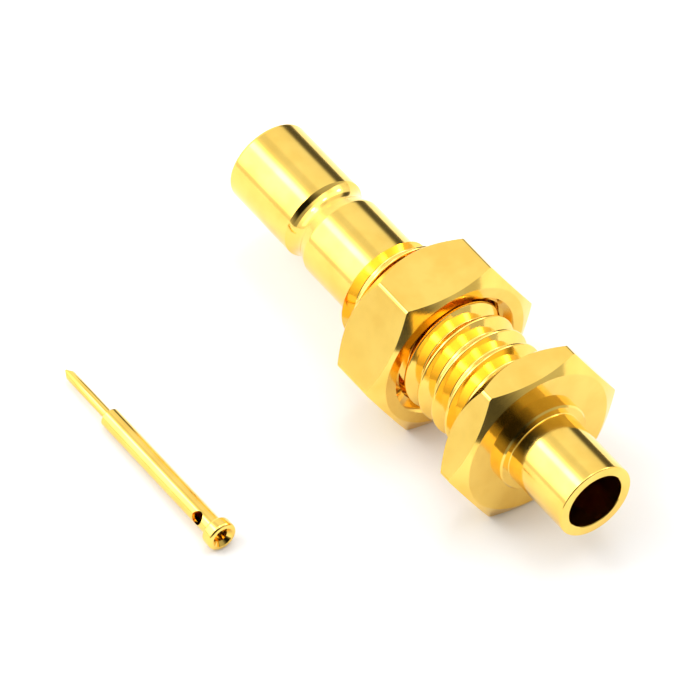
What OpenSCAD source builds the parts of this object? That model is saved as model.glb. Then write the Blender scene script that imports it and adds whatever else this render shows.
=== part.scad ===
// Rear-mount bulkhead jack for thin coaxial cable, with its loose centre contact beside it.
// Millimetres. The origin is on the connector's axis, on the flange face that seats on the panel.
// +X points to the mating end, -X to the cable end and +Z up. It lies on flats of its flange and nut.

/* [Mating end] */
// Diameter of the open socket inside the barrel
socket_d = 2.08; // [1.9:0.01:2.3]
// Depth of the open socket
socket_depth = 3.4; // [2.5:0.05:4.5]
// Chamfer at the socket's mouth
socket_chamfer = 0.08; // [0.02:0.01:0.12]
// Wall of the barrel round the socket
barrel_wall = 0.29; // [0.27:0.01:0.35]
// Length of the barrel from its mouth back to the thread
barrel_len = 5.83; // [5.2:0.01:7]
// Rounding of the barrel's front edge
mouth_round = 0.12; // [0.04:0.01:0.15]
// Distance from the mouth to the front edge of the detent groove
groove_from_mouth = 2.73; // [2.2:0.01:3.4]
// Length of the detent groove from its front edge to its deepest place
groove_run = 0.375; // [0.3:0.005:0.45]
// Depth of the detent groove
groove_depth = 0.17; // [0.12:0.01:0.2]
// Slope of the ramp that leads from the detent groove back to the barrel
groove_ramp_angle = 22; // [16:1:30]
// Rounding of the ramp's upper edge
groove_round = 0.2; // [0.1:0.01:0.25]

/* [Panel thread] */
// Outside diameter of the panel thread
thread_d = 3.505; // [3.3:0.005:3.8]
// Length of the thread from the flange to the barrel
thread_len = 6.1; // [5:0.05:8]
// Chamfer where the thread starts
thread_chamfer = 0.2; // [0.05:0.01:0.22]
// Pitch of the thread, a right-hand one
thread_pitch = 0.635; // [0.58:0.005:0.75]
// Depth of the thread
thread_depth = 0.38; // [0.25:0.01:0.4]
// Width of the flat on the thread's crest
crest_w = 0.08; // [0.05:0.005:0.15]
// Angle between a flank of the thread and a plane across the axis
flank_angle = 30; // [25:0.5:32]
// Angle at which the thread's crest comes out of the flange, from +Y towards +Z
thread_turn = 180; // [0:5:355]

/* [Hexagons] */
// Distance across the flats of the flange and of the nut
hex_af = 5; // [4.8:0.05:6]
// How much narrower than that the round flat is that the chamfers leave on a hexagon's face
hex_face_margin = 0.25; // [0.05:0.01:0.35]
// Angle of the chamfers on the hexagons' corners
hex_chamfer_angle = 30; // [20:1:35]
// Thickness of the hex flange
flange_t = 1.04; // [0.8:0.02:1.6]
// Thickness of the nut
nut_t = 2; // [1.5:0.05:2.5]
// Length of thread that shows in front of the nut as it is set
nut_from_start = 1.2; // [0.2:0.05:2]
// Gap all round between the thread and the nut
nut_clearance = 0.03; // [0.01:0.01:0.1]
// Width of the countersinks round the nut's hole
countersink_w = 0.25; // [0.1:0.01:0.35]
// Angle of the countersinks to the nut's faces
countersink_angle = 40; // [30:1:60]

/* [Cable end] */
// Diameter of the bore for the cable
cable_bore_d = 1.8; // [1.6:0.01:2]
// Depth of the bore for the cable
cable_bore_len = 6.6; // [5.5:0.05:7.5]
// Chamfer at the mouth of the cable bore
cable_chamfer = 0.02; // [0.01:0.01:0.1]
// Wall of the cable tube
tube_wall = 0.31; // [0.25:0.01:0.4]
// Length of the cable tube behind the flange
tube_len = 2.71; // [2:0.01:4]
// Chamfer round the end of the cable tube
tube_chamfer = 0.04; // [0.02:0.01:0.12]
// Width of the step of the boss round the cable tube
boss_step = 0.265; // [0.22:0.005:0.4]
// Height of the boss on the flange
boss_h = 0.28; // [0.1:0.01:0.4]
// Chamfer round the boss
boss_chamfer = 0.05; // [0.02:0.01:0.06]
// Fillet between the boss and the cable tube
boss_fillet = 0.03; // [0.02:0.01:0.2]

/* [Insulator] */
// Thickness of the web that stops the cable on one side and the insulator on the other
web_t = 0.6; // [0.4:0.05:1]
// Gap all round between the web's hole and the contact's collar
web_clearance = 0.15; // [0.05:0.01:0.18]
// Width of the step from the socket's floor in to the insulator's seat
seat_step = 0.16; // [0.05:0.01:0.18]
// How far the insulator's face lies behind the socket's floor
insulator_recess = 0.1; // [0:0.01:0.3]
// Gap all round between the insulator and its seat
seat_clearance = 0.01; // [0.005:0.005:0.03]
// Chamfer round both ends of the insulator
insulator_chamfer = 0.04; // [0.02:0.01:0.05]
// Gap all round between the insulator's hole and the contact that goes through it
contact_clearance = 0.02; // [0.01:0.005:0.05]
// Chamfer at both mouths of the insulator's hole
hole_chamfer = 0.1; // [0.04:0.01:0.2]

/* [Centre contact] */
// Diameter of the contact's shank
shank_d = 0.6; // [0.54:0.01:0.7]
// Overall length of the contact
contact_len = 7.8; // [6.8:0.01:8.8]
// Length of the contact's tip
tip_len = 2.15; // [1.6:0.05:2.6]
// Step from the shank down to the tip
tip_step = 0.15; // [0.1:0.01:0.18]
// Length of the taper at the end of the tip
tip_taper = 0.24; // [0.1:0.01:0.35]
// Diameter of the flat that the taper ends in
tip_end_d = 0.06; // [0.03:0.01:0.15]
// Chamfer at the front of the shank
shank_chamfer = 0.06; // [0.02:0.01:0.09]
// Step from the shank up to the collar at the contact's rear
collar_step = 0.16; // [0.1:0.01:0.25]
// Length of the collar
collar_len = 0.4; // [0.25:0.01:0.55]
// Rounding of the collar's edges
collar_round = 0.08; // [0.03:0.01:0.09]
// Wall of the solder cup
cup_wall = 0.09; // [0.06:0.01:0.15]
// Depth of the solder cup
cup_depth = 2; // [1.4:0.05:2.5]
// Width of the rim that the cone at the cup's mouth leaves
cup_rim_w = 0.14; // [0.1:0.01:0.2]
// Diameter of the solder hole in the shank's side
solder_hole_d = 0.4; // [0.25:0.01:0.41]
// Distance from the contact's rear end to the solder hole
solder_hole_from_rear = 0.92; // [0.75:0.01:1.2]
// How far the solder hole leans from straight up, away from the connector
solder_hole_lean = 58; // [0:1:90]
// Place of the contact's rear end along the connector
contact_x = 2.63; // [0:0.01:6]
// Gap between the hexagons' corners and the contact that lies beside them
contact_gap = 4.8; // [2:0.05:8]
// Angle of the contact to the connector's axis as it lies
contact_yaw = -0.9; // [-10:0.1:10]

/* [Hidden] */
$fn = 64;
// Length by which a cutter runs past the face that it cuts
past = 0.1;
// How far the groove's ramp runs into the arc at each end of it
blend = 0.004;

seat_d = socket_d - 2 * seat_step;
barrel_r = socket_d / 2 + barrel_wall;
thread_r = thread_d / 2;
tube_r = cable_bore_d / 2 + tube_wall;
boss_r = tube_r + boss_step;

mouth_x = thread_len + barrel_len;
barrel_from_x = thread_len - past;
socket_floor_x = mouth_x - socket_depth;
nut_x = thread_len - nut_from_start - nut_t;
flange_rear_x = -flange_t;
boss_top_x = flange_rear_x - boss_h;
tube_end_x = flange_rear_x - tube_len;
web_rear_x = tube_end_x + cable_bore_len;
web_front_x = web_rear_x + web_t;
floor_z = -hex_af / 2;

hex_corner_r = hex_af / sqrt(3);
hex_face_r = (hex_af - hex_face_margin) / 2;
nut_bore_d = thread_d + 2 * nut_clearance;
countersink_depth = countersink_w * tan(countersink_angle);

// The thread is a ribbon that winds from inside the flange to past the thread's start. Its section goes
// over the root, up a flank and over the crest, and the other flank goes down to the next turn's root
flank_run = thread_depth * tan(flank_angle);
root_r = thread_r - thread_depth;
root_w = thread_pitch - crest_w - 2 * flank_run;
ribbon_section = [
    [root_r, -crest_w / 2 - flank_run - root_w],
    [root_r, -crest_w / 2 - flank_run],
    [thread_r, -crest_w / 2],
    [thread_r, crest_w / 2]
];
turn_steps = 32;
ribbon_start_x = -thread_pitch;
ribbon_steps = turn_steps * ceil((thread_len - ribbon_start_x - ribbon_section[0][1]) / thread_pitch);

// The detent groove is an arc in section. A straight ramp leads from it back to the arc that rounds the
// ramp's upper edge, and runs a little way into both arcs
groove_arc_r = (groove_run * groove_run + groove_depth * groove_depth) / (2 * groove_depth);
groove_centre = [barrel_r - groove_depth + groove_arc_r, mouth_x - groove_from_mouth - groove_run];
ramp_out = [cos(groove_ramp_angle), sin(groove_ramp_angle)];
ramp_x = groove_centre[1] - groove_arc_r * ramp_out[1];
ramp_foot_r = groove_centre[0] - (groove_arc_r - blend) / ramp_out[0];
edge_drop = groove_centre[0] - (barrel_r - groove_round);
edge_back = (groove_arc_r + groove_round - 2 * blend - edge_drop * ramp_out[0]) / ramp_out[1];
edge_centre = [barrel_r - groove_round, groove_centre[1] - edge_back];
ramp_top = edge_centre + (groove_round - blend) * ramp_out;

insulator_r = seat_d / 2 - seat_clearance;
insulator_len = socket_floor_x - insulator_recess - web_front_x;
contact_hole_r = shank_d / 2 + contact_clearance;

shank_r = shank_d / 2;
tip_r = shank_r - tip_step;
tip_end_r = tip_end_d / 2;
collar_r = shank_r + collar_step;
cup_d = shank_d - 2 * cup_wall;
cup_mouth_d = 2 * (collar_r - cup_rim_w);
shank_front = contact_len - tip_len;
web_hole_d = 2 * (collar_r + web_clearance);
contact_y = hex_corner_r + contact_gap + collar_r;

// The contact lies on its collar's rounded front edge and on the front edge of its shank
rest_drop = collar_r - collar_round - shank_r;
rest_run = shank_front - shank_chamfer - (collar_len - collar_round);
contact_tilt = atan(rest_drop / rest_run) + asin(collar_round / norm([rest_drop, rest_run]));
collar_height = collar_round + (collar_r - collar_round) * cos(contact_tilt);
contact_z = floor_z + collar_height + (collar_len - collar_round) * sin(contact_tilt);

// Turned shapes are made along +Z, and this lays them along +X
module along_x() {
    rotate([0, 90, 0])
        children();
}

// Half section of a turned length from y = 0, with the corner at its far end rounded
module round_ended(radius, length, rounding) {
    square([radius - rounding, length]);
    square([radius, length - rounding]);
    translate([radius - rounding, length - rounding])
        circle(rounding);
}

// Half section of a turned length from y = 0, with the corner at its far end chamfered
module chamfer_ended(radius, length, chamfer) {
    polygon([[0, 0], [radius, 0], [radius, length - chamfer], [radius - chamfer, length], [0, length]]);
}

// Barrel from inside the thread to the mouth: its rear stretch, the rounded edge there, the ramp and the
// front stretch, less the groove's arc
module barrel_section() {
    difference() {
        union() {
            translate([0, barrel_from_x])
                square([barrel_r, edge_centre[1] - barrel_from_x]);
            translate(edge_centre)
                circle(groove_round);
            polygon([
                [0, edge_centre[1]],
                edge_centre,
                ramp_top,
                [ramp_foot_r, groove_centre[1]],
                [0, groove_centre[1]]
            ]);
            translate([0, ramp_x])
                round_ended(barrel_r, mouth_x - ramp_x, mouth_round);
        }
        translate(groove_centre)
            circle(groove_arc_r);
    }
}

// A point of the thread's ribbon at one step of its winding, and where that point is in the list of points
function ribbon_point(step, corner) =
    let (angle = 360 * step / turn_steps)
    let (r = ribbon_section[corner][0])
    let (height = ribbon_start_x + thread_pitch * step / turn_steps + ribbon_section[corner][1])
    [r * cos(angle), r * sin(angle), height];
function ribbon_index(step, corner) = corner < len(ribbon_section)
    ? len(ribbon_section) * step + corner
    : len(ribbon_section) * (step + turn_steps);

// Two triangles of the ribbon, from one step to the next and from one corner of its section to the next
function ribbon_patch(step, corner) =
    let (a = ribbon_index(step, corner))
    let (b = ribbon_index(step, corner + 1))
    let (c = ribbon_index(step + 1, corner + 1))
    let (d = ribbon_index(step + 1, corner))
    [[a, b, c], [a, c, d]];

// Solid inside the wound ribbon, closed at each end by the ribbon's section and a fan out from the axis
module wound_ribbon() {
    corners = len(ribbon_section);
    last_step = ribbon_steps + turn_steps;
    points = [for (step = [0 : last_step], corner = [0 : corners - 1]) ribbon_point(step, corner)];
    rear_hub = len(points);
    front_hub = rear_hub + 1;
    hubs = [[0, 0, ribbon_point(0, 0)[2]], [0, 0, ribbon_point(last_step, 0)[2]]];
    patches = [
        for (step = [0 : ribbon_steps - 1], corner = [0 : corners - 1])
            each ribbon_patch(step, corner)
    ];
    rear_fan = [
        for (step = [0 : turn_steps - 1])
            [rear_hub, ribbon_index(step, 0), ribbon_index(step + 1, 0)]
    ];
    front_fan = [
        for (step = [ribbon_steps : last_step - 1])
            [front_hub, ribbon_index(step + 1, 0), ribbon_index(step, 0)]
    ];
    rear_end = [rear_hub, for (corner = [corners : -1 : 0]) ribbon_index(0, corner)];
    front_end = [front_hub, for (corner = [0 : corners]) ribbon_index(ribbon_steps, corner)];
    polyhedron(concat(points, hubs), concat(patches, rear_fan, front_fan, [rear_end, front_end]));
}

// Thread with its chamfered start, its crest turned to where it comes out of the flange
module panel_thread() {
    intersection() {
        rotate([0, 0, 90 + thread_turn])
            wound_ribbon();
        translate([0, 0, tube_end_x])
            rotate_extrude()
                chamfer_ended(thread_r + past, thread_len - tube_end_x, thread_chamfer + past);
    }
}

// Boss, fillet and tube, drawn away from the flange's front face and turned over to the cable end
module cable_end_section() {
    mirror([0, 1]) {
        chamfer_ended(boss_r, -boss_top_x, boss_chamfer);
        chamfer_ended(tube_r, -tube_end_x, tube_chamfer);
        translate([0, -boss_top_x])
            difference() {
                square([tube_r + boss_fillet, boss_fillet]);
                translate([tube_r + boss_fillet, boss_fillet])
                    circle(boss_fillet);
            }
    }
}

// Hexagon from z = 0 to z = thickness with both faces chamfered, flats up and down once it lies along +X
module chamfered_hexagon(thickness) {
    outer_r = hex_corner_r + past;
    rise = (outer_r - hex_face_r) * tan(hex_chamfer_angle);
    coned_section = [[0, 0], [hex_face_r, 0], [outer_r, rise], [outer_r, thickness], [0, thickness]];
    intersection() {
        rotate([0, 0, 30])
            cylinder(r = hex_corner_r, h = thickness, $fn = 6);
        rotate_extrude()
            polygon(coned_section);
        translate([0, 0, thickness])
            mirror([0, 0, 1])
                rotate_extrude()
                    polygon(coned_section);
    }
}

// Cutter for a conical mouth in a face at z = 0, which it meets at mouth_d and runs on past
module mouth_cone(inner_d, mouth_d, depth) {
    slope = (mouth_d - inner_d) / depth;
    translate([0, 0, -depth])
        cylinder(d1 = inner_d, d2 = mouth_d + slope * past, h = depth + past);
}

module body_bores() {
    translate([0, 0, socket_floor_x])
        cylinder(d = socket_d, h = socket_depth + past);
    translate([0, 0, web_front_x])
        cylinder(d = seat_d, h = socket_floor_x - web_front_x + past);
    translate([0, 0, web_rear_x - past])
        cylinder(d = web_hole_d, h = web_t + 2 * past);
    translate([0, 0, tube_end_x - past])
        cylinder(d = cable_bore_d, h = cable_bore_len + past);
    translate([0, 0, mouth_x])
        mouth_cone(socket_d, socket_d + 2 * socket_chamfer, socket_chamfer);
    translate([0, 0, tube_end_x])
        mirror([0, 0, 1])
            mouth_cone(cable_bore_d, cable_bore_d + 2 * cable_chamfer, cable_chamfer);
}

module connector_body() {
    color("gold")
        along_x()
            difference() {
                union() {
                    rotate_extrude() {
                        barrel_section();
                        cable_end_section();
                    }
                    panel_thread();
                    translate([0, 0, flange_rear_x])
                        chamfered_hexagon(flange_t);
                }
                body_bores();
            }
}

module hex_nut() {
    mouth_d = nut_bore_d + 2 * countersink_w;
    color("gold")
        translate([nut_x, 0, 0])
            along_x()
                difference() {
                    chamfered_hexagon(nut_t);
                    translate([0, 0, -past])
                        cylinder(d = nut_bore_d, h = nut_t + 2 * past);
                    translate([0, 0, nut_t])
                        mouth_cone(nut_bore_d, mouth_d, countersink_depth);
                    mirror([0, 0, 1])
                        mouth_cone(nut_bore_d, mouth_d, countersink_depth);
                }
}

module insulator() {
    color("ivory")
        translate([web_front_x, 0, 0])
            along_x()
                rotate_extrude()
                    polygon([
                        [contact_hole_r + hole_chamfer, 0],
                        [insulator_r - insulator_chamfer, 0],
                        [insulator_r, insulator_chamfer],
                        [insulator_r, insulator_len - insulator_chamfer],
                        [insulator_r - insulator_chamfer, insulator_len],
                        [contact_hole_r + hole_chamfer, insulator_len],
                        [contact_hole_r, insulator_len - hole_chamfer],
                        [contact_hole_r, hole_chamfer]
                    ]);
}

module contact_section() {
    chamfer_ended(shank_r, shank_front, shank_chamfer);
    polygon([
        [0, 0],
        [tip_r, 0],
        [tip_r, contact_len - tip_taper],
        [tip_end_r, contact_len],
        [0, contact_len]
    ]);
    intersection() {
        round_ended(collar_r, collar_len, collar_round);
        translate([0, collar_len])
            mirror([0, 1])
                round_ended(collar_r, collar_len, collar_round);
    }
}

module contact_cuts() {
    translate([0, 0, -past])
        cylinder(d = cup_d, h = cup_depth + past);
    mirror([0, 0, 1])
        mouth_cone(cup_d, cup_mouth_d, (cup_mouth_d - cup_d) / 2);
    translate([0, 0, solder_hole_from_rear])
        rotate([0, 90, 180 - solder_hole_lean])
            cylinder(d = solder_hole_d, h = shank_d);
}

module centre_contact() {
    color("gold")
        translate([contact_x, contact_y, contact_z])
            rotate([0, 90 + contact_tilt, contact_yaw])
                difference() {
                    rotate_extrude()
                        contact_section();
                    contact_cuts();
                }
}

connector_body();
hex_nut();
insulator();
centre_contact();
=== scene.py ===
import math

import bmesh
import bpy
from mathutils import Matrix, Vector


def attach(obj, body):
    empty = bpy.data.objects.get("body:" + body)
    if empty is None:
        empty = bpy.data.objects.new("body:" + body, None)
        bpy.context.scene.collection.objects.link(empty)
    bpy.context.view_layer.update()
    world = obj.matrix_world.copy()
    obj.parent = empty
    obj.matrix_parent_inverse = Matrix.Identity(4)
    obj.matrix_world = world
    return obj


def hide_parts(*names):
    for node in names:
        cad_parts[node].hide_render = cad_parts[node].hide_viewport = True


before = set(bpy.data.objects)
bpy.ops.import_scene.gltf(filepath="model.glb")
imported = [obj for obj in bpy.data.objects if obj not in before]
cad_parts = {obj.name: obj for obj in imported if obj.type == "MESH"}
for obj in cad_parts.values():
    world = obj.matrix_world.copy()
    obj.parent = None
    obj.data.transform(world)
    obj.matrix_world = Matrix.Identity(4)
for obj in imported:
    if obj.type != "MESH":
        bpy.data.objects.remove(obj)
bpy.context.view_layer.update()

# Connector body: one piece of brass bar, turned from the mating barrel to the cable tube, with its thread cut
# between barrel and flange. The flange keeps the bar's hexagon, chamfered on both faces. It is plated with bright
# gold all over. Sizes are in millimetres, along the connector's axis from the flange's front face.
MM = 0.001
TURNED_STEPS = 144
# closest that two points of a turned or wound shape lie, and two points of a cut
WELD = 1e-5
CUT_WELD = 1e-6
# hexagon: 45 degree chamfers in front, 30 degree chamfers at the rear
HEX_FLAT = 2.5
HEX_OUTER_R = 2.987
FRONT_FACE_R = 2.49
FRONT_RISE = 0.497
REAR_FACE_R = 2.375
REAR_RISE = 0.353
CORNER_ROUND = 0.07
FLANGE_REAR_X = -1.04
# thread: 40 turns to the inch, chamfered at its start
PITCH = 0.635
CREST_R = 1.7525
ROOT_R = 1.3725
CREST_W = 0.08
CREST_ROUND = 0.045
ROOT_ROUND = 0.05
FLANK_ANGLE = 30
THREAD_STEPS = 96
THREAD_TURNS = 13
THREAD_END = 6.1
THREAD_CHAMFER = 0.2
THREAD_CORE_R = 1.2
# it is wound too long, cut to a blank a little larger than itself, and joined some way into barrel and flange
BLANK_SPARE = 0.1
BLANK_REAR_X = -0.5
JOIN_DEPTH = 0.3
# barrel: rounded mouth, and a groove with an arc in front and a ramp behind
BARREL_R = 1.33
BARREL_MID_X = 7.2
MOUTH_X = 11.93
MOUTH_ROUND = 0.12
GROOVE_FRONT_X = 9.2
GROOVE_X = 8.825
GROOVE_ARC_R = 0.4986
GROOVE_ARC_MID_R = 1.6586
GROOVE_ARC_START = -41.2
RAMP_ANGLE = 22
RAMP_TOP_X = 8.27
RAMP_ROUND = 0.2
# boss and cable tube behind the flange
BOSS_R = 1.475
BOSS_REAR_X = -1.32
BOSS_CHAMFER = 0.05
TUBE_R = 1.21
TUBE_MID_X = -2.6
TUBE_END_X = -3.75
TUBE_FILLET = 0.03
TUBE_ROUND = 0.04
# bores: cable bore, web, insulator's seat and open socket
CABLE_BORE_R = 0.90
BORE_CHAMFER = 0.02
WEB_REAR_X = 2.85
WEB_FRONT_X = 3.45
WEB_HOLE_R = 0.61
SEAT_R = 0.88
SEAT_FRONT_X = 8.53
SOCKET_R = 1.04
SOCKET_CHAMFER = 0.08
# a ring of points this far from a round holds the shading of the straight stretch beside it
BARREL_HOLD = 0.04
TUBE_HOLD = 0.03
# edges that turn by more degrees than this show as edges
THREADED_SHARP = 22


def arc(mid_x, mid_r, radius, start, end, count):
    """Points of a section along an arc, from one angle to another, in degrees from the axis."""
    angles = [math.radians(start + (end - start) * i / count) for i in range(count + 1)]
    return [(mid_x + radius * math.cos(a), mid_r + radius * math.sin(a)) for a in angles]


def turned(section, steps, closed=True):
    """A turned shape: its half section, as points of length and radius, spun about the connector's axis."""
    shape = bmesh.new()
    points = [shape.verts.new((x, r, 0)) for x, r in section]
    edges = [shape.edges.new(pair) for pair in zip(points, points[1:])]
    if closed:
        edges.append(shape.edges.new((points[-1], points[0])))
    bmesh.ops.spin(shape, geom=points + edges, cent=(0, 0, 0), axis=(1, 0, 0), dvec=(0, 0, 0),
                   angle=2 * math.pi, steps=steps, use_merge=True, use_duplicate=False)
    bmesh.ops.remove_doubles(shape, verts=shape.verts, dist=WELD)
    bmesh.ops.recalc_face_normals(shape, faces=shape.faces)
    return shape


def wound(crest_r, root_r, crest_x, turns):
    """A solid screw: one turn's section, its crest at crest_x on the +Y side, wound on and closed at its ends."""
    flank = math.radians(FLANK_ANGLE)
    corner = math.tan((math.pi / 2 - flank) / 2)
    half_crest = CREST_W / 2 - CREST_ROUND * corner
    half_root = PITCH / 2 - (CREST_W / 2 + (crest_r - root_r) * math.tan(flank)) - ROOT_ROUND * corner
    side = [(0, crest_r),
            *arc(half_crest, crest_r - CREST_ROUND, CREST_ROUND, 90, FLANK_ANGLE, count=4),
            *arc(PITCH / 2 - half_root, root_r + ROOT_ROUND, ROOT_ROUND, 180 + FLANK_ANGLE, 270, count=4),
            (PITCH / 2, root_r)]
    section = [(-x, r) for x, r in reversed(side[1:])] + side
    shape = bmesh.new()
    points = [shape.verts.new((crest_x + x, r, 0)) for x, r in section]
    edges = [shape.edges.new(pair) for pair in zip(points, points[1:])]
    bmesh.ops.spin(shape, geom=points + edges, cent=(0, 0, 0), axis=(1, 0, 0), dvec=(PITCH / THREAD_STEPS, 0, 0),
                   angle=2 * math.pi * turns, steps=THREAD_STEPS * turns, use_merge=False, use_duplicate=False)
    bmesh.ops.remove_doubles(shape, verts=shape.verts, dist=WELD)
    rims = [e for e in shape.edges if e.is_boundary]
    middle = crest_x + PITCH * turns / 2
    for at_front in (False, True):
        rim = [e for e in rims if (e.verts[0].co.x > middle) == at_front]
        ends = bmesh.ops.extrude_edge_only(shape, edges=rim)["geom"]
        hub = [v for v in ends if isinstance(v, bmesh.types.BMVert)]
        hub_x = crest_x + PITCH * (turns if at_front else 0)
        bmesh.ops.pointmerge(shape, verts=hub, merge_co=(hub_x, 0, 0))
    bmesh.ops.recalc_face_normals(shape, faces=shape.faces)
    return shape


def cut_hexagon(shape):
    """Cuts six flats on what stands out past them, and rounds the corners between the flats."""
    for i in range(6):
        a = math.radians(30 + 60 * i)
        out = Vector((0, math.cos(a), math.sin(a)))
        cut = bmesh.ops.bisect_plane(shape, geom=shape.verts[:] + shape.edges[:] + shape.faces[:], dist=CUT_WELD,
                                     plane_co=out * HEX_FLAT, plane_no=out, clear_outer=True)
        rim = [e for e in cut["geom_cut"] if isinstance(e, bmesh.types.BMEdge)]
        bmesh.ops.holes_fill(shape, edges=rim, sides=0)
    # corners run along the axis and lie clearly further out than the flats
    along_share = 0.9
    corner_r = HEX_FLAT * 1.1
    corners = []
    for e in shape.edges:
        mid = (e.verts[0].co + e.verts[1].co) / 2
        along = abs(e.verts[0].co.x - e.verts[1].co.x) > along_share * e.calc_length()
        if along and Vector((mid.y, mid.z)).length > corner_r:
            corners.append(e)
    bmesh.ops.bevel(shape, geom=corners, affect="EDGES", offset=CORNER_ROUND, offset_type="OFFSET", segments=6,
                    profile=0.5, material=-1, clamp_overlap=False)
    bmesh.ops.recalc_face_normals(shape, faces=shape.faces)


def placed(name, shape):
    """A piece in the scene from its shape in millimetres."""
    bmesh.ops.scale(shape, vec=(MM, MM, MM), verts=shape.verts)
    mesh = bpy.data.meshes.new(name)
    shape.to_mesh(mesh)
    shape.free()
    piece = bpy.data.objects.new(name, mesh)
    bpy.context.scene.collection.objects.link(piece)
    return piece


def combine(piece, tool, operation):
    """Joins a piece with a tool, cuts it by the tool or keeps what both share, and removes the tool."""
    step = piece.modifiers.new("tool", "BOOLEAN")
    step.operation = operation
    step.object = tool
    step.solver = "EXACT"
    result = bpy.data.meshes.new_from_object(piece.evaluated_get(bpy.context.evaluated_depsgraph_get()))
    piece.modifiers.clear()
    result.name = piece.name
    piece.data = result
    piece.data.materials.clear()
    bpy.data.objects.remove(tool)


def smooth_shaded(piece, sharp_angle):
    """Clears slivers left by cuts, then shades smooth apart from sharp edges and the edges round large flats."""
    sliver = 0.0002 * MM
    flat_area = 1.0 * MM * MM
    shape = bmesh.new()
    shape.from_mesh(piece.data)
    bmesh.ops.remove_doubles(shape, verts=shape.verts, dist=sliver)
    bmesh.ops.dissolve_degenerate(shape, edges=shape.edges, dist=sliver)
    bmesh.ops.recalc_face_normals(shape, faces=shape.faces)
    for f in shape.faces:
        f.smooth = True
    for e in shape.edges:
        by_flat = any(f.calc_area() > flat_area for f in e.link_faces)
        e.smooth = not by_flat and e.calc_face_angle(0) < math.radians(sharp_angle)
    # faces of many corners are split here, because a split on export can leave an edge with four faces
    bmesh.ops.triangulate(shape, faces=[f for f in shape.faces if len(f.verts) > 4], ngon_method="BEAUTY")
    shape.to_mesh(piece.data)
    shape.free()


body_section = [
    (MOUTH_X, SOCKET_R + SOCKET_CHAMFER),
    *arc(MOUTH_X - MOUTH_ROUND, BARREL_R - MOUTH_ROUND, MOUTH_ROUND, 0, 90, count=8),
    (MOUTH_X - MOUTH_ROUND - BARREL_HOLD, BARREL_R),
    (GROOVE_FRONT_X + BARREL_HOLD, BARREL_R),
    *arc(GROOVE_X, GROOVE_ARC_MID_R, GROOVE_ARC_R, GROOVE_ARC_START, -90 - RAMP_ANGLE, count=16),
    *arc(RAMP_TOP_X, BARREL_R - RAMP_ROUND, RAMP_ROUND, 90 - RAMP_ANGLE, 90, count=5),
    (RAMP_TOP_X - BARREL_HOLD, BARREL_R),
    (BARREL_MID_X, BARREL_R),
    (THREAD_END - JOIN_DEPTH, BARREL_R),
    (THREAD_END - JOIN_DEPTH, THREAD_CORE_R),
    (0, THREAD_CORE_R),
    (0, FRONT_FACE_R),
    (-FRONT_RISE, HEX_OUTER_R),
    (FLANGE_REAR_X + REAR_RISE, HEX_OUTER_R),
    (FLANGE_REAR_X, REAR_FACE_R),
    (FLANGE_REAR_X, BOSS_R),
    (BOSS_REAR_X + BOSS_CHAMFER, BOSS_R),
    (BOSS_REAR_X, BOSS_R - BOSS_CHAMFER),
    *arc(BOSS_REAR_X - TUBE_FILLET, TUBE_R + TUBE_FILLET, TUBE_FILLET, 0, -90, count=6),
    (BOSS_REAR_X - TUBE_FILLET - TUBE_HOLD, TUBE_R),
    (TUBE_MID_X, TUBE_R),
    (TUBE_END_X + TUBE_ROUND + TUBE_HOLD, TUBE_R),
    *arc(TUBE_END_X + TUBE_ROUND, TUBE_R - TUBE_ROUND, TUBE_ROUND, 90, 180, count=5),
    (TUBE_END_X, CABLE_BORE_R + BORE_CHAMFER),
    (TUBE_END_X + BORE_CHAMFER, CABLE_BORE_R),
    (WEB_REAR_X, CABLE_BORE_R),
    (WEB_REAR_X, WEB_HOLE_R),
    (WEB_FRONT_X, WEB_HOLE_R),
    (WEB_FRONT_X, SEAT_R),
    (SEAT_FRONT_X, SEAT_R),
    (SEAT_FRONT_X, SOCKET_R),
    (MOUTH_X - SOCKET_CHAMFER, SOCKET_R),
]
body_shape = turned(body_section, TURNED_STEPS)
cut_hexagon(body_shape)
body = placed("connector_body_plated", body_shape)
# the crest comes out of the flange on the far side, half a turn from +Y
thread_start = -2.5 * PITCH
thread = placed("thread", wound(CREST_R, ROOT_R, thread_start, THREAD_TURNS))
thread_blank = [
    (THREAD_END, THREAD_CORE_R - BLANK_SPARE),
    (THREAD_END, CREST_R - THREAD_CHAMFER),
    (THREAD_END - THREAD_CHAMFER - BLANK_SPARE, CREST_R + BLANK_SPARE),
    (BLANK_REAR_X, CREST_R + BLANK_SPARE),
    (BLANK_REAR_X, THREAD_CORE_R - BLANK_SPARE),
]
combine(thread, placed("blank", turned(thread_blank, TURNED_STEPS)), "INTERSECT")
combine(body, thread, "UNION")
smooth_shaded(body, THREADED_SHARP)


def linear(hex_colour):
    """Linear colour of an sRGB hex value."""
    parts = [int(hex_colour[i:i + 2], 16) / 255 for i in (1, 3, 5)]
    return tuple(c / 12.92 if c <= 0.04045 else ((c + 0.055) / 1.055) ** 2.4 for c in parts) + (1,)


def add_node(tree, kind, settings=None, **inputs):
    """Adds a node with its settings, and sets or links its inputs. An input is given by its name, with spaces
    written as underscores, or by its number, as in i0."""
    new = tree.nodes.new(kind)
    for key, value in (settings or {}).items():
        setattr(new, key, value)
    for key, value in inputs.items():
        numbered = key[0] == "i" and key[1:].isdigit()
        socket = new.inputs[int(key[1:]) if numbered else key.replace("_", " ")]
        if isinstance(value, bpy.types.NodeSocket):
            tree.links.new(value, socket)
        else:
            socket.default_value = value
    return new


# Bright gold plating on turned brass: a smooth mirror of a full yellow, with fine tool marks round the axis under
# it and a slightly redder, duller tone in patches where the plating is thin.
PLATING = "#FED76C"
THIN_PLATING = "#F7CC60"
PLATING_ROUGHNESS = 0.09
THIN_ROUGHNESS = 0.13
PATCH_SIZE = 0.9
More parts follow.
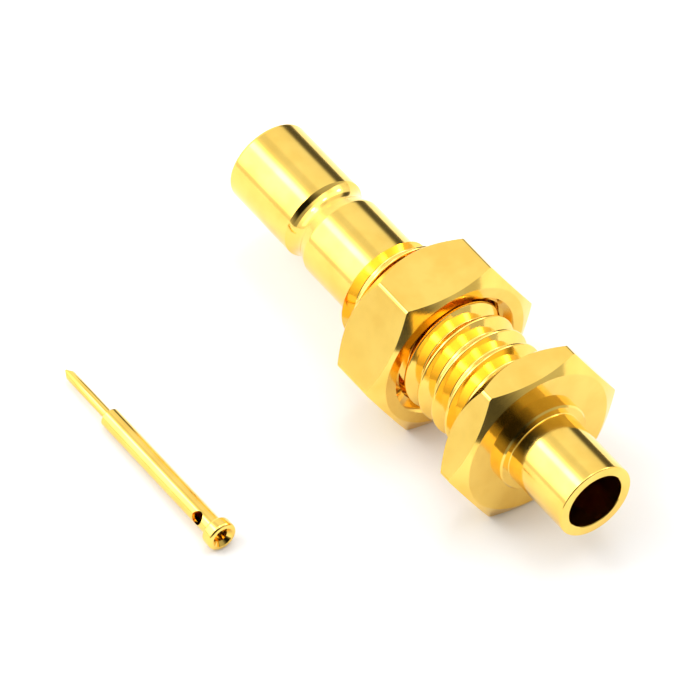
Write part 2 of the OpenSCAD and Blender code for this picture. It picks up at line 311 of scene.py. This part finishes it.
# tool marks are drawn far enough apart to show in the render
MARK_SPACING = 0.06
MARK_LENGTH = 6
MARK_DEPTH = 0.01
gold = bpy.data.materials.new("bright gold plating on turned brass")
gold.use_nodes = True
tree = gold.node_tree
surface = tree.nodes["Principled BSDF"]
place = add_node(tree, "ShaderNodeTexCoord")
mark_scale = (1 / (MARK_SPACING * MM), 1 / (MARK_LENGTH * MM), 1 / (MARK_LENGTH * MM))
marks_place = add_node(tree, "ShaderNodeMapping", Vector=place.outputs["Object"], Scale=mark_scale)
marks = add_node(tree, "ShaderNodeTexNoise", Vector=marks_place.outputs["Vector"], Scale=1.0, Detail=2.0)
bump = add_node(tree, "ShaderNodeBump", Height=marks.outputs["Fac"], Strength=0.06, Distance=MARK_DEPTH * MM)
patches = add_node(tree, "ShaderNodeTexNoise", Vector=place.outputs["Object"], Scale=1 / (PATCH_SIZE * MM),
                   Detail=3.0)
tone = add_node(tree, "ShaderNodeValToRGB", Fac=patches.outputs["Fac"])
tone.color_ramp.elements[0].position = 0.35
tone.color_ramp.elements[0].color = linear(THIN_PLATING)
tone.color_ramp.elements[1].position = 0.62
tone.color_ramp.elements[1].color = linear(PLATING)
dullness = add_node(tree, "ShaderNodeMapRange", Value=patches.outputs["Fac"], From_Min=0.3, From_Max=0.7,
                    To_Min=THIN_ROUGHNESS, To_Max=PLATING_ROUGHNESS)
tree.links.new(tone.outputs["Color"], surface.inputs["Base Color"])
tree.links.new(dullness.outputs["Result"], surface.inputs["Roughness"])
tree.links.new(bump.outputs["Normal"], surface.inputs["Normal"])
surface.inputs["Metallic"].default_value = 1.0
body.data.materials.append(gold)
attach(body, "connector")
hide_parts("connector_body")

# Panel nut: cut from the same hexagon bar, both faces chamfered, its threaded hole countersunk at both mouths, and
# plated with the body. It sits on the thread with a stretch of it free on either side.
NUT_REAR_X = 2.9
NUT_FRONT_X = 4.9
NUT_BORE_R = 1.7825
NUT_GROOVE_R = 1.97
TAP_DEPTH = 0.38
TAP_START_X = 1.5 * PITCH
TAP_TURNS = 8
COUNTERSINK_R = 2.0325
COUNTERSINK_DEPTH = 0.21
nut_section = [
    (NUT_FRONT_X, FRONT_FACE_R),
    (NUT_FRONT_X - FRONT_RISE, HEX_OUTER_R),
    (NUT_REAR_X + REAR_RISE, HEX_OUTER_R),
    (NUT_REAR_X, REAR_FACE_R),
    (NUT_REAR_X, COUNTERSINK_R),
    (NUT_REAR_X + COUNTERSINK_DEPTH, NUT_BORE_R),
    (NUT_FRONT_X - COUNTERSINK_DEPTH, NUT_BORE_R),
    (NUT_FRONT_X, COUNTERSINK_R),
]
nut_shape = turned(nut_section, TURNED_STEPS)
cut_hexagon(nut_shape)
nut = placed("hex_nut_plated", nut_shape)
tap = placed("tap", wound(NUT_GROOVE_R, NUT_GROOVE_R - TAP_DEPTH, TAP_START_X, TAP_TURNS))
combine(nut, tap, "DIFFERENCE")
smooth_shaded(nut, THREADED_SHARP)
nut.data.materials.append(gold)
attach(nut, "nut")
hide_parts("hex_nut")

# Insulator: a bush turned from white PTFE, pressed into its seat behind the open socket until it stops on the web.
# The contact goes through its hole once the cable is soldered on.
BUSH_R = 0.87
BUSH_FRONT_X = 8.43
BUSH_CHAMFER = 0.04
BUSH_STEPS = 96
BUSH_HOLE_R = 0.32
BUSH_HOLE_CHAMFER = 0.1
TURNED_SHARP = 30
insulator_section = [
    (WEB_FRONT_X, BUSH_HOLE_R + BUSH_HOLE_CHAMFER),
    (WEB_FRONT_X, BUSH_R - BUSH_CHAMFER),
    (WEB_FRONT_X + BUSH_CHAMFER, BUSH_R),
    (BUSH_FRONT_X - BUSH_CHAMFER, BUSH_R),
    (BUSH_FRONT_X, BUSH_R - BUSH_CHAMFER),
    (BUSH_FRONT_X, BUSH_HOLE_R + BUSH_HOLE_CHAMFER),
    (BUSH_FRONT_X - BUSH_HOLE_CHAMFER, BUSH_HOLE_R),
    (WEB_FRONT_X + BUSH_HOLE_CHAMFER, BUSH_HOLE_R),
]
insulator = placed("insulator_bush", turned(insulator_section, BUSH_STEPS))
smooth_shaded(insulator, TURNED_SHARP)
# Turned PTFE: milky white and waxy, a little cloudy, with a fine roughness left by the tool.
MILKY = "#F6F5F1"
CLOUDY = "#EDEBE4"
CLOUD_SIZE = 0.6
GRAIN_SIZE = 0.08
GRAIN_DEPTH = 0.01
ptfe = bpy.data.materials.new("turned PTFE")
ptfe.use_nodes = True
tree = ptfe.node_tree
surface = tree.nodes["Principled BSDF"]
place = add_node(tree, "ShaderNodeTexCoord")
grain_scale = (1 / (GRAIN_SIZE * MM), 1 / (GRAIN_SIZE * MM), 1 / (GRAIN_SIZE * MM))
grain_place = add_node(tree, "ShaderNodeMapping", Vector=place.outputs["Object"], Scale=grain_scale)
grain = add_node(tree, "ShaderNodeTexNoise", Vector=grain_place.outputs["Vector"], Scale=1.0, Detail=2.0)
bump = add_node(tree, "ShaderNodeBump", Height=grain.outputs["Fac"], Strength=0.15, Distance=GRAIN_DEPTH * MM)
clouds = add_node(tree, "ShaderNodeTexNoise", Vector=place.outputs["Object"], Scale=1 / (CLOUD_SIZE * MM),
                  Detail=2.0)
tone = add_node(tree, "ShaderNodeValToRGB", Fac=clouds.outputs["Fac"])
tone.color_ramp.elements[0].position = 0.35
tone.color_ramp.elements[0].color = linear(CLOUDY)
tone.color_ramp.elements[1].position = 0.65
tone.color_ramp.elements[1].color = linear(MILKY)
tree.links.new(tone.outputs["Color"], surface.inputs["Base Color"])
tree.links.new(bump.outputs["Normal"], surface.inputs["Normal"])
surface.inputs["Roughness"].default_value = 0.45
surface.inputs["IOR"].default_value = 1.36
insulator.data.materials.append(ptfe)
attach(insulator, "connector")
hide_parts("insulator")

# Centre contact: a thin brass pin, turned, cross-drilled and gold plated. It lies loose on the table, on its
# collar's front edge and on the front edge of its shank. The cup at its rear takes the cable's wire, and solder
# runs in at the side hole.
CONTACT_LENGTH = 7.80
CONTACT_STEPS = 64
POINT_R = 0.03
POINT_LENGTH = 0.24
TIP_R = 0.15
TIP_MID = 6.6
TIP_LENGTH = 2.15
SHANK_R = 0.30
SHANK_MID = 3.0
SHANK_CHAMFER = 0.06
COLLAR_R = 0.46
COLLAR_LENGTH = 0.40
COLLAR_ROUND = 0.08
CUP_R = 0.21
CUP_DEPTH = 2.0
CUP_CHAMFER = 0.11
HOLE_R = 0.20
HOLE_STEPS = 40
HOLE_FROM_REAR = 0.92
HOLE_LEAN = math.radians(58)
DRILL_LENGTH = 0.6
# where its rear end's middle lies, and how it is tilted and turned there
CONTACT_REAR = Vector((2.63, 8.14675, -2.03046))
CONTACT_TILT = math.radians(1.7394)
CONTACT_YAW = math.radians(-0.9)
contact_section = [
    (CONTACT_LENGTH, 0),
    (CONTACT_LENGTH, POINT_R),
    (CONTACT_LENGTH - POINT_LENGTH, TIP_R),
    (TIP_MID, TIP_R),
    (CONTACT_LENGTH - TIP_LENGTH, TIP_R),
    (CONTACT_LENGTH - TIP_LENGTH, SHANK_R - SHANK_CHAMFER),
    (CONTACT_LENGTH - TIP_LENGTH - SHANK_CHAMFER, SHANK_R),
    (SHANK_MID, SHANK_R),
    (COLLAR_LENGTH, SHANK_R),
    *arc(COLLAR_LENGTH - COLLAR_ROUND, COLLAR_R - COLLAR_ROUND, COLLAR_ROUND, 0, 90, count=5),
    *arc(COLLAR_ROUND, COLLAR_R - COLLAR_ROUND, COLLAR_ROUND, 90, 180, count=5),
    (0, CUP_R + CUP_CHAMFER),
    (CUP_CHAMFER, CUP_R),
    (CUP_DEPTH, CUP_R),
    (CUP_DEPTH, 0),
]
contact_shape = turned(contact_section, CONTACT_STEPS, closed=False)
turn_and_tilt = Matrix.Rotation(CONTACT_YAW, 4, "Z") @ Matrix.Rotation(CONTACT_TILT, 4, "Y")
lie = Matrix.Translation(CONTACT_REAR) @ turn_and_tilt
bmesh.ops.transform(contact_shape, matrix=lie, verts=contact_shape.verts)
contact = placed("centre_contact_plated", contact_shape)
drill_shape = bmesh.new()
bmesh.ops.create_cone(drill_shape, cap_ends=True, segments=HOLE_STEPS, radius1=HOLE_R, radius2=HOLE_R,
                      depth=DRILL_LENGTH)
bmesh.ops.translate(drill_shape, vec=(0, 0, DRILL_LENGTH / 2), verts=drill_shape.verts)
drilled = lie @ Matrix.Translation((HOLE_FROM_REAR, 0, 0)) @ Matrix.Rotation(-HOLE_LEAN, 4, "X")
bmesh.ops.transform(drill_shape, matrix=drilled, verts=drill_shape.verts)
combine(contact, placed("drill", drill_shape), "DIFFERENCE")
smooth_shaded(contact, TURNED_SHARP)
contact.data.materials.append(gold)
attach(contact, "connector")
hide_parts("centre_contact")

# Table: a plain white sheet that the connector and its contact lie on. Its long edges run level with the picture's
# foot and head, a little outside it, and it goes on far to the right. The metal shows the darker room past it.
FLOOR_Z = -2.5
SHEET_NEAR = 13
SHEET_FAR = -45
SHEET_LEFT = 50
SHEET_RIGHT = -300
SHEET_TURN = math.radians(54.3)
sheet_size = (SHEET_LEFT - SHEET_RIGHT, SHEET_NEAR - SHEET_FAR, 1)
sheet_middle = ((SHEET_LEFT + SHEET_RIGHT) / 2, (SHEET_NEAR + SHEET_FAR) / 2, FLOOR_Z)
floor_shape = bmesh.new()
bmesh.ops.create_grid(floor_shape, x_segments=1, y_segments=1, size=0.5)
bmesh.ops.scale(floor_shape, vec=sheet_size, verts=floor_shape.verts)
bmesh.ops.translate(floor_shape, vec=sheet_middle, verts=floor_shape.verts)
bmesh.ops.rotate(floor_shape, cent=(0, 0, 0), matrix=Matrix.Rotation(SHEET_TURN, 3, "Z"), verts=floor_shape.verts)
table = placed("table", floor_shape)
# Matt white paper: nearly all light comes back, and a share of plain white keeps it the picture's ground.
WHITE_PAPER = "#EEEEEE"
GROUND_SHARE = 0.1
paper = bpy.data.materials.new("matt white paper")
paper.use_nodes = True
tree = paper.node_tree
tree.nodes.clear()
matt = add_node(tree, "ShaderNodeBsdfDiffuse", Color=linear(WHITE_PAPER))
ground = add_node(tree, "ShaderNodeEmission", Color=(1, 1, 1, 1), Strength=1.0)
path = add_node(tree, "ShaderNodeLightPath")
seen = add_node(tree, "ShaderNodeMath", {"operation": "MAXIMUM"}, i0=path.outputs["Is Camera Ray"],
                i1=path.outputs["Is Glossy Ray"])
seen = add_node(tree, "ShaderNodeMath", {"operation": "MAXIMUM"}, i0=seen.outputs[0],
                i1=path.outputs["Is Transmission Ray"])
ground_share = add_node(tree, "ShaderNodeMath", {"operation": "MULTIPLY"}, i0=seen.outputs[0], i1=GROUND_SHARE)
mixed = add_node(tree, "ShaderNodeMixShader", Fac=ground_share.outputs[0], i1=matt.outputs[0],
                 i2=ground.outputs[0])
add_node(tree, "ShaderNodeOutputMaterial", Surface=mixed.outputs[0])
table.data.materials.append(paper)

# Studio light: a tent round the connector, brightest over its mating end, open and dark towards the camera. A zone
# takes over from the one before it between two values of a direction's X. Its levels go by the angle round the
# connector's axis, in degrees from the table on the left over the top.
ZONES = [
    (None, [(-30, 0.11), (-18, 0.07), (120, 0.07), (135, 0.11), (145, 0.25), (155, 0.44), (165, 0.66), (200, 0.6)]),
    ((-0.93, -0.83), [(-30, 0.28), (-5, 0.38), (8, 0.2), (18, 0.05), (26, 0.01), (64, 0.01), (74, 0.07),
                      (85, 0.135), (95, 0.225), (103, 0.4), (115, 0.47), (145, 0.52), (155, 0.58), (165, 0.645),
                      (175, 0.61), (200, 0.7)]),
    ((-0.45, -0.37), [(-30, 0.3), (0, 0.4), (40, 0.45), (62, 0.77), (72, 1.38), (88, 1.65), (96, 2.35),
                      (108, 2.4), (116, 1.4), (130, 1.4), (140, 2.6), (150, 2.6), (160, 1.1), (200, 0.8)]),
    ((-0.1, 0.0), [(-30, 0.4), (-5, 0.8), (10, 1.2), (25, 1.7), (40, 2.2), (100, 2.2), (115, 1.8), (128, 2.2),
                   (140, 2.6), (150, 2.4), (160, 1.2), (200, 0.8)]),
    ((0.3, 0.44), [(-30, 0.5), (-6, 1.0), (3, 1.0), (10, 2.1), (25, 2.6), (45, 2.7), (53, 3.0), (58, 5.5),
                   (66, 5.5), (74, 1.9), (82, 1.1), (90, 0.9), (100, 0.9), (108, 1.1), (148, 1.0), (153, 0.85),
                   (160, 0.22), (165, 0.1), (177, 0.1), (183, 0.22), (189, 0.75), (193, 1.0), (200, 1.0)]),
    ((0.66, 0.8), [(-30, 0.5), (-5, 1.15), (10, 1.35), (25, 1.45), (40, 1.8), (55, 2.2), (70, 1.8), (85, 1.35),
                   (100, 1.3), (130, 1.25), (150, 1.35), (170, 1.35), (200, 0.9)]),
]
# a ramp of levels starts at this angle, and a colour of 1 on it stands for this level
RAMP_START = -90
TOP_LEVEL = 6.0
# where lamps shine through the tent and how many times brighter it is there, and the angles that a lamp's edge
# runs between
LAMPS = [((0.25, 0.484, 0.838), 5.0), ((0.20, -0.17, 0.965), 4.0), ((0.05, -0.838, 0.544), 4.0)]
LAMP_EDGE = math.radians(8)
LAMP_CORE = math.radians(4)
world = bpy.data.worlds.new("light tent")
bpy.context.scene.world = world
world.use_nodes = True
tree = world.node_tree
tree.nodes.clear()
way = add_node(tree, "ShaderNodeTexCoord")
parts = add_node(tree, "ShaderNodeSeparateXYZ", Vector=way.outputs["Generated"])
angle = add_node(tree, "ShaderNodeMath", {"operation": "ARCTAN2"}, i0=parts.outputs["Z"], i1=parts.outputs["Y"])
turns = add_node(tree, "ShaderNodeMath", {"operation": "MULTIPLY_ADD"}, i0=angle.outputs[0], i1=1 / (2 * math.pi),
                 i2=-RAMP_START / 360)
share = add_node(tree, "ShaderNodeMath", {"operation": "FRACT"}, i0=turns.outputs[0])
for takes_over, levels in ZONES:
    ramp = add_node(tree, "ShaderNodeValToRGB", Fac=share.outputs[0])
    for i, (degrees, level) in enumerate(levels):
        spot = (degrees - RAMP_START) / 360
        stop = ramp.color_ramp.elements[i] if i < 2 else ramp.color_ramp.elements.new(spot)
        stop.position = spot
        stop.color = (level / TOP_LEVEL, level / TOP_LEVEL, level / TOP_LEVEL, 1)
    if takes_over is None:
        tent = ramp.outputs["Color"]
        continue
    from_x, full_x = takes_over
    taken = add_node(tree, "ShaderNodeMapRange", {"interpolation_type": "SMOOTHSTEP"}, Value=parts.outputs["X"],
                     From_Min=from_x, From_Max=full_x)
    tent = add_node(tree, "ShaderNodeMix", {"data_type": "RGBA"}, i0=taken.outputs[0], i6=tent,
                    i7=ramp.outputs["Color"]).outputs[2]
strength = TOP_LEVEL
for lamp_way, brighter in LAMPS:
    facing = add_node(tree, "ShaderNodeVectorMath", {"operation": "DOT_PRODUCT"}, i0=way.outputs["Generated"],
                      i1=Vector(lamp_way).normalized())
    lit = add_node(tree, "ShaderNodeMapRange", {"interpolation_type": "SMOOTHSTEP"}, Value=facing.outputs["Value"],
                   From_Min=math.cos(LAMP_EDGE), From_Max=math.cos(LAMP_CORE), To_Min=1.0, To_Max=brighter)
    strength = add_node(tree, "ShaderNodeMath", {"operation": "MULTIPLY"}, i0=lit.outputs[0],
                        i1=strength).outputs[0]
glow = add_node(tree, "ShaderNodeBackground", Color=tent, Strength=strength)
white = add_node(tree, "ShaderNodeBackground", Color=(1, 1, 1, 1), Strength=1.0)
path = add_node(tree, "ShaderNodeLightPath")
mixed = add_node(tree, "ShaderNodeMixShader", Fac=path.outputs["Is Camera Ray"], i1=glow.outputs[0],
                 i2=white.outputs[0])
add_node(tree, "ShaderNodeOutputWorld", Surface=mixed.outputs[0])

# Camera: far back with a long lens, so near and far ends look the same size, and looking down on the cable end
# from its left, as in the photograph.
VIEW_POINT = Vector((4.706, 2.305, 0.086)) * MM
VIEW_BACK = Vector((-0.5357, 0.3849, 0.7516)).normalized()
VIEW_DISTANCE = 0.4545
# light goes on many times between thread and nut and in the bores, so it is followed further than by default
MIRROR_BOUNCES = 7
camera_data = bpy.data.cameras.new("camera")
camera_data.sensor_width = 36
camera_data.lens = 837
camera_data.clip_start = 0.01
camera_data.clip_end = 10
camera = bpy.data.objects.new("camera", camera_data)
camera.location = VIEW_POINT + VIEW_BACK * VIEW_DISTANCE
camera.rotation_mode = "QUATERNION"
camera.rotation_quaternion = (-VIEW_BACK).to_track_quat("-Z", "Y")
bpy.context.scene.collection.objects.link(camera)
bpy.context.scene.camera = camera
bpy.context.scene.view_settings.view_transform = "Standard"
bpy.context.scene.cycles.glossy_bounces = MIRROR_BOUNCES
